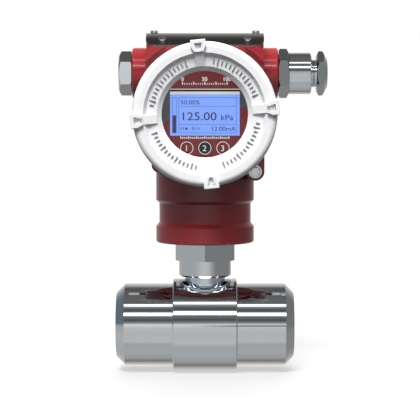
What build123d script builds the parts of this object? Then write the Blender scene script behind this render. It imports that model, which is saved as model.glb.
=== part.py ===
from build123d import *
from math import asin, cos, degrees, radians, sin, sqrt, tan
import os

os.makedirs("parts", exist_ok=True)

# Pressure transmitter, in millimetres.
# X runs along the process pipe, -Y is the window side, +Z is up.
# The origin is the centre of the pipe's bore, under the sensor stem.

# Process pipe
pipe_length = 123.8
pipe_d = 57.0
pipe_bore_d = 38.0
pipe_end_chamfer = 6.0
collar_d = 64.0
collar_length = 44.8
collar_edge = 0.8
port_d = 20.0
port_floor = 5.5

# Sensor stem, screwed and sealed into the collar
spigot_d = 28.2
spigot_fit = 0.05
spigot_show = 2.0
stem_round_d = 36.4
stem_round_height = 11.7
stem_round_bevel = 1.2
stem_hex_af = 41.0
stem_hex_height = 12.3
stem_hex_bevel = 0.6
neck_d = 30.0
neck_height = 40.0
neck_fit = 0.1
neck_groove_height = 2.6
neck_groove_depth = 1.9
neck_groove_rise = 5.0
stem_bore_d = 16.0
stem_foot_bevel = 0.8

# Pressure capsule in the foot of the stem
capsule_seal_t = 1.0
capsule_d = 23.8
capsule_t = 3.0
capsule_stub_d = 12.0
capsule_stub_height = 5.0
capsule_groove_radii = (3.0, 5.4)
capsule_ring_t = 2.3
capsule_ring_wall = 3.4
capsule_fit = 0.1

# Housing neck
flange_d = 68.5
flange_height = 11.3
flange_bevel = 1.0
slim_d = 64.0
slim_taper = 2.8
slim_height = 13.4
shoulder_taper = 2.2
neck_roof = 6.0
lead_passage_d = 10.0
lead_passage_gap = 0.5

# Housing barrel and its two compartments
barrel_z = 147.5
barrel_d = 92.0
barrel_length = 72.0
partition_t = 5.0
partition_y = -2.0
chamber_d = 80.0
thread_d = 85.0
thread_depth = 14.0
thread_fit = 0.1
seal_recess_d = 86.8
seal_recess_depth = 3.0
mouth_bevel = 0.6

# Crown block with the pad of the nameplate, cut back round the front cover
crown_width = 80.6
crown_front_reach = 3.0
crown_back_setback = 6.0
crown_z = 193.2
crown_corner = 5.0
pad_chord = 50.0
pad_rise = 9.6
plate_t = 0.8
plate_overhang = 0.3
plate_corner = 6.0
plate_edge_gap = 0.6
cover_relief = 4.3

# Conduit bosses
conduit_z = 176.0
conduit_y = 14.0
conduit_d = 36.0
conduit_span = 102.2
conduit_bevel = 1.0
entry_d = 20.0
entry_fit = 0.1
entry_reach = 20.0

# Screw bosses beside the neck
ground_x = 34.4
ground_z = 108.3
ground_boss_d = 12.6
ground_boss_setback = 7.0
lock_x = -31.2
lock_z = 112.9
lock_boss_d = 10.0
boss_back_y = -8.0

# Screw-on covers
cover_d = 97.2
cover_depth = 22.0
cover_round = 4.0
cover_skirt_length = 6.0
cover_skirt_taper = 1.6
cover_band_d = 82.0
cover_step_d = 78.0
cover_recess = 2.5
cover_dish = 0.8
lip_outer_d = 64.0
lip_inner_d = 57.8
lip_depth = 3.5
lip_land = 1.5
spigot_length = 12.0
spigot_bore_d = 77.0
seal_wire_d = 2.6
seal_gap = 0.1
rear_depth = 18.0
rear_wall = 4.0
rear_cone = 3.0
lug_turn = 5.5
lug_width = 10.2
lug_neck_width = 6.6
lug_proud = 2.2
lug_round = 0.6
lug_reach = 1.1
lug_neck_setback = 7.2
lug_shoulder_setback = 3.4
lug_depth = 12.0
rib_width = 5.8
rib_drop = 1.4
rib_foot_rise = 0.9
pocket_inner_setback = 6.8
pocket_outer_setback = 1.2
pocket_inner_width = 2.4
pocket_outer_width = 5.2
pocket_depth = 3.2

# Window in the front cover
glass_d = 68.0
glass_t = 4.0
gasket_t = 0.5
glass_fit = 0.1
ring_shoulder = 2.0
ring_lap = 4.0
ring_t = 2.8
ring_fit = 0.05
ring_runout = 0.2
ring_notch_width = 4.0
ring_notch_depth = 1.4

# Display
face_gap = 1.6
face_t = 1.6
lcd_width = 47.0
lcd_height = 29.7
lcd_rise = 0.4
lcd_fit = 0.2
lcd_sink = 0.3
lcd_rim = 1.8
lcd_post_gap = 2.2
display_board_gap = 4.6
board_t = 1.6
display_board_edge = 3.5
key_d = 9.7
key_pitch = 12.2
key_margin = 1.25
key_fit = 0.08
key_proud = 0.6
key_flange_d = 11.4
key_flange_t = 1.0
key_travel = 0.5
key_seat_gap = 0.1
key_foot_d = 4.0
key_round = 0.3
display_screw_d = 2.5
display_screw_head_d = 4.6
display_screw_bite = 6.0
display_slot_width = 0.6
post_d = 6.0
standoff_af = 5.5

# Electronics behind the display
board_post_length = 12.4
main_board_edge = 4.5
main_board_flat = 33.0
stud_depth = 6.0
board_screw_edge = 6.0
board_screw_d = 3.0
board_screw_head_d = 5.6
board_screw_head_t = 2.0
board_post_d = 7.0
lead_d = 3.0
lead_y = -6.0
lead_plug_z = 118.0
lead_plug_width = 10.0
lead_plug_height = 7.0
lead_plug_gap = 0.4
lead_straight = 20.0
lead_bend_r = 60.0

# Terminal compartment
block_width = 56.0
block_height = 26.0
block_t = 13.0
block_drop = 9.0
block_margin = 4.0
terminal_count = 4
terminal_wall = 3.0
terminal_bay_depth = 5.0
terminal_screw_d = 4.0
terminal_head_gap = 0.7
terminal_head_t = 3.0
terminal_screw_depth = 6.0
block_screw_inset = 3.0
block_screw_z_shift = 8.5
block_screw_head_d = 5.0
block_screw_bite = 3.0
block_edge = 0.8
inner_ground_drop = 31.0
inner_ground_boss_d = 9.0
inner_ground_boss_t = 5.0

# Nameplate screws
plate_screw_d = 3.0
plate_screw_head_d = 5.2
plate_screw_head_t = 1.8
plate_screw_depth = 4.0
crest_screw_x = 35.4
slope_screw_x = 29.3
slope_screw_y = 19.6
plate_slot_width = 0.8

# Conduit fittings
fitting_seal_t = 0.5
fitting_seal_wall = 3.4
plug_hex_af = 27.0
plug_hex_t = 8.9
plug_foot_bevel = 0.5
plug_face_bevel = 1.7
plug_shank = 14.0
gland_hex_af = 30.0
gland_hex_t = 7.5
gland_hex_foot_bevel = 1.0
gland_hex_face_bevel = 1.8
gland_barrel_d = 29.2
gland_barrel_length = 15.4
gland_barrel_bevel = 0.8
gland_shank = 14.0
gland_bore_d = 19.2
gland_floor_x = 56.0
gland_neck_fit = 0.1
gland_way_d = 13.0
gland_bush_length = 9.0
gland_bush_bore_d = 9.0
gland_ring_t = 1.5
gland_neck_show = 3.5
gland_nut_af = 27.0
gland_nut_t = 7.8
gland_nut_foot_bevel = 1.9
gland_nut_face_bevel = 3.2
gland_mouth_bevel = 1.5

# Outer ground screw
ground_washer_d = 9.0
ground_washer_t = 1.0
ground_screw_d = 4.0
ground_screw_fit = 0.05
ground_head_d = 7.2
ground_head_t = 2.6
ground_screw_depth = 10.0
ground_slot_width = 1.0
ground_slot_depth = 1.2
shallow_slot_depth = 0.6

# Set screws
set_screw_d = 5.0
set_screw_length = 8.0
set_screw_key_af = 2.5
set_screw_key_depth = 2.5
neck_screw_z = 95.3
neck_screw_sink = 1.5

# Small edges
edge = 0.4

# Levels worked out from the sizes above
pipe_r = pipe_d / 2
collar_r = collar_d / 2
port_seat_z = pipe_bore_d / 2 + port_floor
stem_foot_z = port_seat_z + capsule_seal_t
stem_round_z = collar_r + spigot_show
stem_hex_z = stem_round_z + stem_round_height
housing_z = stem_hex_z + stem_hex_height
neck_top_z = housing_z + neck_height
capsule_ring_z = stem_foot_z
capsule_z = capsule_ring_z + capsule_ring_t
capsule_top_z = capsule_z + capsule_t
stub_top_z = capsule_top_z + capsule_stub_height
flange_top_z = housing_z + flange_height
slim_z = flange_top_z + slim_taper
slim_top_z = slim_z + slim_height
shoulder_z = slim_top_z + shoulder_taper
neck_roof_z = neck_top_z + neck_roof
barrel_r = barrel_d / 2
barrel_front_y = -barrel_length / 2
barrel_back_y = barrel_length / 2
partition_back_y = partition_y + partition_t
crown_front_y = barrel_front_y - crown_front_reach
crown_depth = barrel_length + crown_front_reach - crown_back_setback
ground_boss_y = barrel_front_y + ground_boss_setback
cover_r = cover_d / 2
lug_tip_r = cover_r + lug_reach
lug_neck_r = cover_r - lug_neck_setback
lug_shoulder_r = cover_r - lug_shoulder_setback
cover_face_y = barrel_front_y - cover_depth
cover_recess_y = cover_face_y + cover_recess
lip_y = cover_recess_y + lip_depth
glass_seat_y = lip_y + lip_land
glass_y = glass_seat_y + gasket_t
ring_seat_y = glass_y + glass_t
ring_d = glass_d + 2 * ring_shoulder
ring_bore_d = glass_d - 2 * ring_lap
ring_back_y = ring_seat_y + ring_t
face_y = ring_back_y + face_gap
face_back_y = face_y + face_t
display_board_y = face_back_y + display_board_gap
display_board_back_y = display_board_y + board_t
display_screw_r = (lcd_height / 2 + lcd_rise + lcd_rim + lcd_post_gap + post_d / 2) * sqrt(2)
display_board_d = 2 * (display_screw_r + display_board_edge)
key_drop = lip_inner_d / 2 - key_d / 2 - key_margin
main_board_y = partition_y - board_post_length
main_board_front_y = main_board_y - board_t
main_board_d = 2 * (display_screw_r + main_board_edge)
board_screw_r = main_board_d / 2 - board_screw_edge
crown_pad_top_z = crown_z + pad_rise
pad_radius = (pad_chord ** 2 / 4 + pad_rise ** 2) / (2 * pad_rise)
pad_centre_z = crown_pad_top_z - pad_radius
conduit_face_x = conduit_span / 2
fitting_x = conduit_face_x + fitting_seal_t
gland_end_x = fitting_x + gland_hex_t + gland_barrel_length
gland_ring_x = gland_floor_x + gland_bush_length
gland_nut_foot_x = gland_ring_x + gland_ring_t
gland_nut_x = gland_end_x + gland_neck_show
block_z = barrel_z - block_drop
block_screw_x = block_width / 2 - block_screw_inset
terminal_pitch = (block_width - 2 * block_margin) / terminal_count
terminal_bay = terminal_pitch - terminal_wall
terminal_head_d = terminal_bay - 2 * terminal_head_gap
lead_passage_y = lead_y - (lead_passage_d / 2 - lead_d / 2 - lead_passage_gap)
cover_groove_width = seal_wire_d + 2 * seal_gap
cover_groove_r = seal_recess_d / 2 - seal_wire_d - 2 * seal_gap

# Section plane through the barrel axis: first the place along Y, then the radius
barrel_section = Plane(origin=(0, 0, barrel_z), x_dir=(0, 1, 0), z_dir=(1, 0, 0))
barrel_axis = Axis((0, 0, barrel_z), (0, 1, 0))


def front_plane(y, x=0.0, z=0.0):
    """A plane that faces the front, with X to the right and Z up."""
    return Plane(origin=(x, y, z), x_dir=(1, 0, 0), z_dir=(0, -1, 0))


def back_plane(y, x=0.0, z=0.0):
    """A plane that faces the back, with Z up."""
    return Plane(origin=(x, y, z), x_dir=(-1, 0, 0), z_dir=(0, 1, 0))


def side_plane(x, y=0.0, z=0.0, side=1):
    """A plane that faces +X or -X, with Z up."""
    return Plane(origin=(x, y, z), x_dir=(0, side, 0), z_dir=(side, 0, 0))


def turned_hexagon(across_flats, height, foot_bevel, face_bevel):
    """A hexagonal prism standing on XY, its corners turned down at 30 degrees at both ends."""
    corner = across_flats / 2 / cos(radians(30))
    foot_land = corner - foot_bevel / tan(radians(30))
    face_land = corner - face_bevel / tan(radians(30))
    with BuildPart() as block:
        with BuildSketch():
            RegularPolygon(across_flats / 2, 6, major_radius=False, rotation=30)
        extrude(amount=height)
        with BuildSketch(Plane.XZ):
            Polygon(
                (0, 0),
                (foot_land, 0),
                (corner, foot_bevel),
                (corner, height - face_bevel),
                (face_land, height),
                (0, height),
                align=None,
            )
        revolve(axis=Axis.Z, mode=Mode.INTERSECT)
    return block.part


def flat_ring(plane, outer_r, inner_r, thickness):
    """A plain ring that stands on a plane."""
    with BuildPart() as ring:
        with BuildSketch(plane):
            Circle(outer_r)
            Circle(inner_r, mode=Mode.SUBTRACT)
        extrude(amount=thickness)
    return ring.part


def pan_screw(head_d, head_t, shank_d, shank_length, slot_width, slot_depth):
    """A slotted pan-head screw along Z, with the underside of its head at z = 0."""
    with BuildPart() as screw:
        with BuildSketch():
            Circle(head_d / 2)
        extrude(amount=head_t)
        fillet(screw.faces().sort_by(Axis.Z)[-1].edges(), head_t * 0.4)
        with BuildSketch():
            Circle(shank_d / 2)
        extrude(amount=-shank_length)
        with BuildSketch(Plane.XY.offset(head_t)):
            Rectangle(head_d, slot_width)
        extrude(amount=-slot_depth, mode=Mode.SUBTRACT)
    return screw.part


def set_screw(length):
    """A hexagon-socket set screw along Z, with its socket end at z = 0."""
    with BuildPart() as screw:
        with BuildSketch():
            Circle(set_screw_d / 2)
        extrude(amount=-length)
        with BuildSketch():
            RegularPolygon(set_screw_key_af / 2, 6, major_radius=False)
        extrude(amount=-set_screw_key_depth, mode=Mode.SUBTRACT)
    return screw.part


def write(piece, name):
    """Gives a finished piece its label and writes its file."""
    piece.label = name
    export_step(piece, f"parts/{name}.step")


# Process pipe: one turned tee body with a wider collar and a socket for the stem
half_length = pipe_length / 2
half_collar = collar_length / 2
with BuildPart() as process_pipe:
    with BuildSketch(Plane.XZ):
        Polygon(
            (-half_length, 0),
            (-half_length, pipe_r - pipe_end_chamfer),
            (-half_length + pipe_end_chamfer, pipe_r),
            (-half_collar, pipe_r),
            (-half_collar, collar_r - collar_edge),
            (-half_collar + collar_edge, collar_r),
            (half_collar - collar_edge, collar_r),
            (half_collar, collar_r - collar_edge),
            (half_collar, pipe_r),
            (half_length - pipe_end_chamfer, pipe_r),
            (half_length, pipe_r - pipe_end_chamfer),
            (half_length, 0),
            align=None,
        )
    revolve(axis=Axis.X)
    with BuildSketch(Plane.YZ.offset(-half_length)):
        Circle(pipe_bore_d / 2)
    extrude(amount=pipe_length, mode=Mode.SUBTRACT)
    with BuildSketch(Plane.XY.offset(port_seat_z)):
        Circle(spigot_d / 2 + spigot_fit)
    extrude(amount=collar_d, mode=Mode.SUBTRACT)
    with BuildSketch():
        Circle(port_d / 2)
    extrude(amount=collar_r, mode=Mode.SUBTRACT)
write(process_pipe.part, "process_pipe")

# Sensor stem: spigot, round collar, hexagon and the neck that enters the housing
groove_z = housing_z + neck_groove_rise
groove_r = neck_d / 2 - neck_groove_depth
with BuildPart() as sensor_stem:
    with BuildSketch(Plane.XZ):
        Polygon(
            (0, stem_foot_z),
            (spigot_d / 2 - stem_foot_bevel, stem_foot_z),
            (spigot_d / 2, stem_foot_z + stem_foot_bevel),
            (spigot_d / 2, stem_round_z),
            (stem_round_d / 2 - stem_round_bevel, stem_round_z),
            (stem_round_d / 2, stem_round_z + stem_round_bevel),
            (stem_round_d / 2, stem_hex_z),
            (neck_d / 2, stem_hex_z),
            (neck_d / 2, groove_z),
            (groove_r, groove_z),
            (groove_r, groove_z + neck_groove_height),
            (neck_d / 2, groove_z + neck_groove_height),
            (neck_d / 2, neck_top_z - stem_foot_bevel),
            (neck_d / 2 - stem_foot_bevel, neck_top_z),
            (0, neck_top_z),
            align=None,
        )
    revolve(axis=Axis.Z)
    with Locations((0, 0, stem_hex_z)):
        add(turned_hexagon(stem_hex_af, stem_hex_height, stem_hex_bevel, stem_hex_bevel))
    with BuildSketch(Plane.XY.offset(stem_foot_z)):
        Circle(stem_bore_d / 2)
    extrude(amount=neck_top_z - stem_foot_z, mode=Mode.SUBTRACT)
    with BuildSketch(Plane.XY.offset(stem_foot_z)):
        Circle(capsule_d / 2 + capsule_fit)
    extrude(amount=capsule_top_z - stem_foot_z, mode=Mode.SUBTRACT)
write(sensor_stem.part, "sensor_stem")

# Seal under the stem's foot
capsule_seal = flat_ring(
    Plane.XY.offset(port_seat_z),
    spigot_d / 2 - stem_foot_bevel,
    capsule_d / 2 + capsule_fit,
    capsule_seal_t,
)
write(capsule_seal, "capsule_seal")

# Pressure capsule: diaphragm disc with convolutions and an electrical stub
with BuildPart() as sensor_capsule:
    with BuildSketch(Plane.XY.offset(capsule_z)):
        Circle(capsule_d / 2)
    extrude(amount=capsule_t)
    with BuildSketch(Plane.XY.offset(capsule_top_z)):
        Circle(capsule_stub_d / 2)
    extrude(amount=capsule_stub_height)
    for groove_radius in capsule_groove_radii:
        with BuildSketch(Plane.XZ):
            with Locations((groove_radius, capsule_z)):
                Circle(edge)
        revolve(axis=Axis.Z, mode=Mode.SUBTRACT)
write(sensor_capsule.part, "sensor_capsule")

# Threaded ring that clamps the capsule
capsule_ring = flat_ring(
    Plane.XY.offset(capsule_ring_z),
    capsule_d / 2,
    capsule_d / 2 - capsule_ring_wall,
    capsule_ring_t,
)
write(capsule_ring, "capsule_ring")

# O-ring between the stem's neck and the housing
neck_seal_wire = neck_d / 2 + neck_fit - groove_r
with BuildPart() as neck_seal:
    with BuildSketch(Plane.XZ):
        with Locations((groove_r + neck_seal_wire / 2, groove_z + neck_groove_height / 2)):
            Circle(neck_seal_wire / 2)
    revolve(axis=Axis.Z)
write(neck_seal.part, "neck_seal")

# Arched pad of the housing under the nameplate, with rounded corners in plan
with BuildPart() as nameplate_pad:
    with BuildSketch(side_plane(-crown_width / 2, z=crown_z)):
        with BuildLine():
            ThreePointArc((-pad_chord / 2, 0), (0, pad_rise), (pad_chord / 2, 0))
            Line((pad_chord / 2, 0), (pad_chord / 2, -pad_rise))
            Line((pad_chord / 2, -pad_rise), (-pad_chord / 2, -pad_rise))
            Line((-pad_chord / 2, -pad_rise), (-pad_chord / 2, 0))
        make_face()
    extrude(amount=crown_width)
    with BuildSketch(Plane.XY.offset(crown_z - pad_rise)):
        RectangleRounded(crown_width, pad_chord, plate_corner)
    extrude(amount=2 * pad_rise, mode=Mode.INTERSECT)

# Housing: one casting with neck, barrel, crown block, conduit bosses and screw bosses
with BuildPart() as housing:
    with BuildSketch(Plane.XZ):
        Polygon(
            (0, housing_z),
            (flange_d / 2 - flange_bevel, housing_z),
            (flange_d / 2, housing_z + flange_bevel),
            (flange_d / 2, flange_top_z),
            (slim_d / 2, slim_z),
            (slim_d / 2, slim_top_z),
            (flange_d / 2, shoulder_z),
            (flange_d / 2, barrel_z),
            (0, barrel_z),
            align=None,
        )
    revolve(axis=Axis.Z)
    with BuildSketch(front_plane(barrel_back_y, z=barrel_z)):
        Circle(barrel_r)
    extrude(amount=barrel_length)
    # Crown block with rounded upper corners
    crown_half_height = (crown_z - barrel_z) / 2
    crown_back = front_plane(crown_front_y + crown_depth, z=barrel_z + crown_half_height)
    with BuildSketch(crown_back) as crown_outline:
        Rectangle(crown_width, 2 * crown_half_height)
        fillet(crown_outline.vertices().group_by(Axis.Y)[-1], crown_corner)
    extrude(amount=crown_depth)
    add(nameplate_pad.part)
    # Seat and relief round the front cover
    with BuildSketch(front_plane(barrel_front_y, z=barrel_z)):
        Circle(cover_r + cover_relief)
    extrude(amount=cover_depth, mode=Mode.SUBTRACT)
    # Conduit bosses
    with BuildSketch(side_plane(-conduit_face_x, conduit_y, conduit_z)):
        Circle(conduit_d / 2)
    extrude(amount=conduit_span)
    conduit_rims = housing.faces().filter_by(Axis.X).group_by(Axis.X)
    chamfer(conduit_rims[0].edges() + conduit_rims[-1].edges(), conduit_bevel)
    # Bosses of the outer ground screw and of the covers' lock screws, with their webs
    for boss_x, boss_z, boss_d, boss_start_y, boss_end_y in (
        (ground_x, ground_z, ground_boss_d, boss_back_y, ground_boss_y),
        (lock_x, lock_z, lock_boss_d, boss_back_y, barrel_front_y),
        (-lock_x, lock_z, lock_boss_d, barrel_back_y, -boss_back_y),
    ):
        with BuildSketch(front_plane(boss_start_y, boss_x, boss_z)):
            Circle(boss_d / 2)
            with Locations((0, boss_d / 2)):
                Rectangle(boss_d, boss_d)
        extrude(amount=boss_start_y - boss_end_y)
    # Compartments, thread bores and seal recesses, turned about the barrel axis
    with BuildSketch(barrel_section):
        Polygon(
            (barrel_front_y, 0),
            (barrel_front_y, seal_recess_d / 2 + mouth_bevel),
            (barrel_front_y + mouth_bevel, seal_recess_d / 2),
            (barrel_front_y + seal_recess_depth, seal_recess_d / 2),
            (barrel_front_y + seal_recess_depth, thread_d / 2),
            (barrel_front_y + thread_depth, thread_d / 2),
            (barrel_front_y + thread_depth, chamber_d / 2),
            (partition_y, chamber_d / 2),
            (partition_y, 0),
            align=None,
        )
        Polygon(
            (barrel_back_y, 0),
            (barrel_back_y, seal_recess_d / 2 + mouth_bevel),
            (barrel_back_y - mouth_bevel, seal_recess_d / 2),
            (barrel_back_y - seal_recess_depth, seal_recess_d / 2),
            (barrel_back_y - seal_recess_depth, thread_d / 2),
            (barrel_back_y - thread_depth, thread_d / 2),
            (barrel_back_y - thread_depth, chamber_d / 2),
            (partition_back_y, chamber_d / 2),
            (partition_back_y, 0),
            align=None,
        )
    revolve(axis=barrel_axis, mode=Mode.SUBTRACT)
    # Neck bore for the stem and the passage of the sensor lead
    with BuildSketch(Plane.XY.offset(housing_z)):
        Circle(neck_d / 2 + neck_fit)
    extrude(amount=neck_roof_z - housing_z, mode=Mode.SUBTRACT)
    with BuildSketch(Plane.XY.offset(neck_roof_z).shift_origin((0, lead_passage_y, neck_roof_z))):
        Circle(lead_passage_d / 2)
    extrude(amount=barrel_r, mode=Mode.SUBTRACT)
    # Conduit entries into the terminal compartment
    for side in (1, -1):
        with BuildSketch(side_plane(side * conduit_face_x, conduit_y, conduit_z, side)):
            Circle(entry_d / 2)
        extrude(amount=-(conduit_face_x - entry_reach), mode=Mode.SUBTRACT)
    # Posts for the electronics board, standing on the partition
    with BuildSketch(front_plane(partition_y, z=barrel_z)):
        with PolarLocations(display_screw_r, 4, start_angle=45):
            Circle(board_post_d / 2)
        with PolarLocations(board_screw_r, 2):
            Circle(board_post_d / 2)
    extrude(amount=partition_y - main_board_y)
    with BuildSketch(front_plane(main_board_y, z=barrel_z)):
        with PolarLocations(display_screw_r, 4, start_angle=45):
            Circle(display_screw_d / 2)
        with PolarLocations(board_screw_r, 2):
            Circle(board_screw_d / 2)
    extrude(amount=-stud_depth, mode=Mode.SUBTRACT)
    # Boss of the inner ground screw and the holes behind the terminal block
    with BuildSketch(back_plane(partition_back_y, z=barrel_z - inner_ground_drop)):
        Circle(inner_ground_boss_d / 2)
    extrude(amount=inner_ground_boss_t)
    with BuildSketch(
        back_plane(partition_back_y + inner_ground_boss_t, z=barrel_z - inner_ground_drop)
    ):
        Circle(ground_screw_d / 2)
    extrude(amount=-terminal_screw_depth, mode=Mode.SUBTRACT)
    with BuildSketch(back_plane(partition_back_y, z=block_z + block_screw_z_shift)):
        with Locations((block_screw_x, 0), (-block_screw_x, 0)):
            Circle(board_screw_d / 2)
    extrude(amount=-(block_screw_bite + edge), mode=Mode.SUBTRACT)
    # Threaded holes of the outer ground screw, the lock screws and the neck screw
    with BuildSketch(front_plane(ground_boss_y, ground_x, ground_z)):
        Circle(ground_screw_d / 2 + ground_screw_fit)
    extrude(amount=-(ground_screw_depth + edge), mode=Mode.SUBTRACT)
    with BuildSketch(front_plane(boss_back_y, lock_x, lock_z)):
        Circle(set_screw_d / 2)
    extrude(amount=boss_back_y - barrel_front_y, mode=Mode.SUBTRACT)
    with BuildSketch(front_plane(barrel_back_y, -lock_x, lock_z)):
        Circle(set_screw_d / 2)
    extrude(amount=barrel_back_y + boss_back_y, mode=Mode.SUBTRACT)
    with BuildSketch(front_plane(-flange_d / 2, z=neck_screw_z)):
        Circle(set_screw_d / 2)
    extrude(amount=-(flange_d - neck_d) / 2, mode=Mode.SUBTRACT)
    # Threaded holes of the nameplate screws
    slope_angle = degrees(asin(slope_screw_y / pad_radius))
    plate_screw_places = []
    for screw_x, tilt in (
        (crest_screw_x, 0.0),
        (slope_screw_x, slope_angle),
        (slope_screw_x, -slope_angle),
    ):
        for side in (1, -1):
            direction = Vector(0, -sin(radians(tilt)), cos(radians(tilt)))
            foot = Vector(side * screw_x, 0, pad_centre_z) + direction * pad_radius
            plate_screw_places.append(Plane(origin=foot, x_dir=(1, 0, 0), z_dir=direction))
    for place in plate_screw_places:
        with BuildSketch(place):
            Circle(plate_screw_d / 2)
        extrude(amount=-plate_screw_depth, mode=Mode.SUBTRACT)
write(housing.part, "housing")


def cover_section(side):
    """A half-section of a cover: first the way out from the barrel's mouth, then the radius."""
    return Plane(
        origin=(0, side * barrel_length / 2, barrel_z), x_dir=(0, side, 0), z_dir=(side, 0, 0)
    )


def cover_face_plane(side, depth):
    """The outer face plane of a cover, with Z up."""
    place_y = side * (barrel_length / 2 + depth)
    if side < 0:
        return front_plane(place_y, z=barrel_z)
    return back_plane(place_y, z=barrel_z)


def grip_lug():
    """One grip lug with its pocket and its rib, with its top at z = 0 and its radius along X."""
    band_z = -lug_proud
    floor_z = band_z - cover_recess
    pocket_inner_r = cover_r - pocket_inner_setback
    pocket_outer_r = cover_r - pocket_outer_setback
    with BuildPart() as lug:
        with BuildSketch():
            Polygon(
                (lug_neck_r, -lug_neck_width / 2),
                (lug_shoulder_r, -lug_width / 2),
                (lug_tip_r, -lug_width / 2),
                (lug_tip_r, lug_width / 2),
                (lug_shoulder_r, lug_width / 2),
                (lug_neck_r, lug_neck_width / 2),
                align=None,
            )
        extrude(amount=floor_z)
        with BuildSketch():
            with Locations(((lug_shoulder_r + lug_tip_r) / 2, 0)):
                Rectangle(lug_tip_r - lug_shoulder_r, lug_width)
        extrude(amount=-lug_depth)
        fillet(lug.edges().filter_by(Axis.Z).group_by(Axis.X)[-1], lug_round)
        fillet(lug.faces().sort_by(Axis.Z)[-1].edges(), lug_round)
        with BuildSketch():
            Polygon(
                (pocket_inner_r, -pocket_inner_width / 2),
                (pocket_outer_r, -pocket_outer_width / 2),
                (pocket_outer_r, pocket_outer_width / 2),
                (pocket_inner_r, pocket_inner_width / 2),
                align=None,
            )
        extrude(amount=-pocket_depth, mode=Mode.SUBTRACT)
        with BuildSketch(Plane.XZ):
            Polygon(
                (lip_outer_d / 2, floor_z - cover_dish),
                (lip_outer_d / 2, floor_z - cover_dish + rib_foot_rise),
                (lug_neck_r + lug_round, -rib_drop),
                (lug_neck_r + lug_round, floor_z - cover_dish),
                align=None,
            )
        extrude(amount=rib_width / 2, both=True)
    return lug.part


def screw_cover(side, depth, inner_points):
    """A cast cover with a threaded spigot, a seal groove and four grip lugs with pockets."""
    thread_r = thread_d / 2 - thread_fit
    top = cover_face_plane(side, depth + lug_proud)
    with BuildPart() as cover:
        with BuildSketch(cover_section(side)):
            with BuildLine():
                CenterArc((depth - cover_round, cover_r - cover_round), cover_round, 0, 90)
                Polyline(
                    (depth - cover_round, cover_r),
                    (cover_skirt_length + cover_skirt_taper, cover_r),
                    (cover_skirt_length, barrel_r),
                    (edge, barrel_r),
                    (0, barrel_r - edge),
                    (0, cover_groove_r),
                    (-cover_groove_width, cover_groove_r),
                    (-cover_groove_width, thread_r),
                    (mouth_bevel - spigot_length, thread_r),
                    (-spigot_length, thread_r - mouth_bevel),
                    (-spigot_length, spigot_bore_d / 2),
                    *inner_points,
                    (depth, cover_r - cover_round),
                )
            make_face()
        revolve(axis=barrel_axis)
        with Locations(top):
            with PolarLocations(0, 4, start_angle=lug_turn):
                add(grip_lug())
    return cover.part


# Front cover with the window opening, the glass pocket and the ring thread
glass_seat_out = cover_depth - cover_recess - lip_depth - lip_land
ring_seat_out = glass_seat_out - gasket_t - glass_t
ring_back_out = ring_seat_out - ring_t
front_cover = screw_cover(
    -1,
    cover_depth,
    (
        (ring_back_out - ring_runout, spigot_bore_d / 2),
        (ring_back_out - ring_runout, ring_d / 2),
        (ring_seat_out, ring_d / 2),
        (ring_seat_out, glass_d / 2 + glass_fit),
        (glass_seat_out, glass_d / 2 + glass_fit),
        (glass_seat_out, lip_inner_d / 2),
        (glass_seat_out + lip_land, lip_inner_d / 2),
        (cover_depth - cover_recess - cover_dish, lip_outer_d / 2),
        (cover_depth - cover_recess, cover_step_d / 2),
        (cover_depth, cover_band_d / 2),
    ),
)
write(front_cover, "front_cover")

# Blind rear cover with a shallow dished face
rear_cover = screw_cover(
    1,
    rear_depth,
    (
        (rear_depth - cover_recess - rear_wall - rear_cone, spigot_bore_d / 2),
        (rear_depth - cover_recess - rear_wall, spigot_bore_d / 2 - rear_cone),
        (rear_depth - cover_recess - rear_wall, 0),
        (rear_depth - cover_recess - cover_dish, 0),
        (rear_depth - cover_recess - cover_dish, lip_outer_d / 2),
        (rear_depth - cover_recess, cover_step_d / 2),
        (rear_depth, cover_band_d / 2),
    ),
)
write(rear_cover, "rear_cover")

# O-rings of the two covers
for side, name in ((-1, "front_cover_seal"), (1, "rear_cover_seal")):
    with BuildPart() as cover_seal:
        with BuildSketch(cover_section(side)):
            with Locations((-cover_groove_width / 2, cover_groove_r + seal_gap + seal_wire_d / 2)):
                Circle(seal_wire_d / 2)
        revolve(axis=barrel_axis)
    write(cover_seal.part, name)

# Window: gasket, toughened glass and threaded retaining ring
window_gasket = flat_ring(
    front_plane(glass_y, z=barrel_z), glass_d / 2, lip_inner_d / 2 + edge, gasket_t
)
write(window_gasket, "window_gasket")
with BuildPart() as front_window:
    with BuildSketch(front_plane(ring_seat_y, z=barrel_z)):
        Circle(glass_d / 2)
    extrude(amount=glass_t)
    chamfer(front_window.edges(), edge)
write(front_window.part, "front_window")
ring_wall = (ring_d - ring_bore_d) / 2
with BuildPart() as window_ring:
    with BuildSketch(front_plane(ring_back_y, z=barrel_z)):
        Circle(ring_d / 2 - ring_fit)
        Circle(ring_bore_d / 2, mode=Mode.SUBTRACT)
    extrude(amount=ring_t)
    with BuildSketch(front_plane(ring_back_y, z=barrel_z)):
        with PolarLocations(ring_bore_d / 2 + ring_wall / 2, 2):
            Rectangle(2 * ring_wall, ring_notch_width)
    extrude(amount=ring_notch_depth, mode=Mode.SUBTRACT)
write(window_ring.part, "window_ring")

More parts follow.
